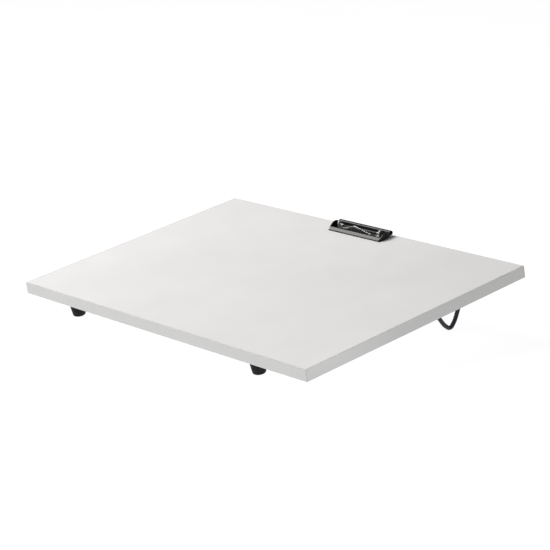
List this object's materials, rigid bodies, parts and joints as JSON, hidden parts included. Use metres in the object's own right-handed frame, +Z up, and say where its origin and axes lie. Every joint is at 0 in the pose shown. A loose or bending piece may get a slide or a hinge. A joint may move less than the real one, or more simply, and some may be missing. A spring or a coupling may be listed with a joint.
{
  "type": "portable drawing board",
  "caption": "Portable drawing board: white laminated panel raised at the back by folding wire legs, with rubber feet and a sprung paper clip.",
  "frame": {"origin": "centre of the bounding box's base, on the surface that the board stands on", "axes": "+X along the long edges to the user's right, +Y from the user's edge to the clip's edge, +Z up; the panel rises 10.3 degrees towards +Y"},
  "size_m": [0.65, 0.4262, 0.1206],
  "materials": {
    "particle_board": "raw, hidden inside the panel",
    "white_laminate": "matt white melamine laminate",
    "white_edge_band": "satin white edge banding",
    "black_rubber": "matt moulded rubber",
    "zinc_steel": "bright zinc plate",
    "black_wire": "gloss black coated steel wire",
    "black_steel": "satin black paint",
    "black_clip": "gloss black plated steel",
    "bright_plate": "bright nickel plate",
    "spring_steel": "bright drawn spring wire"
  },
  "bodies": {
    "board": {"core_panel": "particle_board", "top_laminate": "white_laminate", "bottom_laminate": "white_laminate", "edge_band_front": "white_edge_band", "edge_band_back": "white_edge_band", "edge_band_left": "white_edge_band", "edge_band_right": "white_edge_band", "foot_left": "black_rubber", "foot_right": "black_rubber", "foot_washer_left": "zinc_steel", "foot_washer_right": "zinc_steel", "foot_screw_left": "zinc_steel", "foot_screw_right": "zinc_steel", "leg_bracket_left": "black_steel", "leg_bracket_right": "black_steel", "leg_bracket_screw_left_front": "zinc_steel", "leg_bracket_screw_left_back": "zinc_steel", "leg_bracket_screw_right_front": "zinc_steel", "leg_bracket_screw_right_back": "zinc_steel", "clip_base_plate": "bright_plate", "clip_hinge_rod": "black_clip", "clip_spring": "spring_steel", "clip_screw_left": "zinc_steel", "clip_screw_right": "zinc_steel"},
    "leg_left": {"leg_wire_left": "black_wire"},
    "leg_right": {"leg_wire_right": "black_wire"},
    "clip_lever": {"clip_jaw": "black_clip"}
  },
  "joints": [
    {"name": "leg_left_fold", "type": "hinge", "parent": "board", "child": "leg_left", "pos_m": [-0.2174, 0.15714, 0.0763], "axis": [0, -0.9839, -0.1788], "range_deg": [0, 90]},
    {"name": "leg_right_fold", "type": "hinge", "parent": "board", "child": "leg_right", "pos_m": [0.2174, 0.15714, 0.0763], "axis": [0, 0.9839, 0.1788], "range_deg": [0, 90]},
    {"name": "clip_open", "type": "hinge", "parent": "board", "child": "clip_lever", "pos_m": [0, 0.19114, 0.11348], "axis": [-1, 0, 0], "range_deg": [0, 14], "stiffness_Nm_per_rad": 0.35, "springref_deg": -34.38, "deforming": ["clip_spring"]}
  ]
}
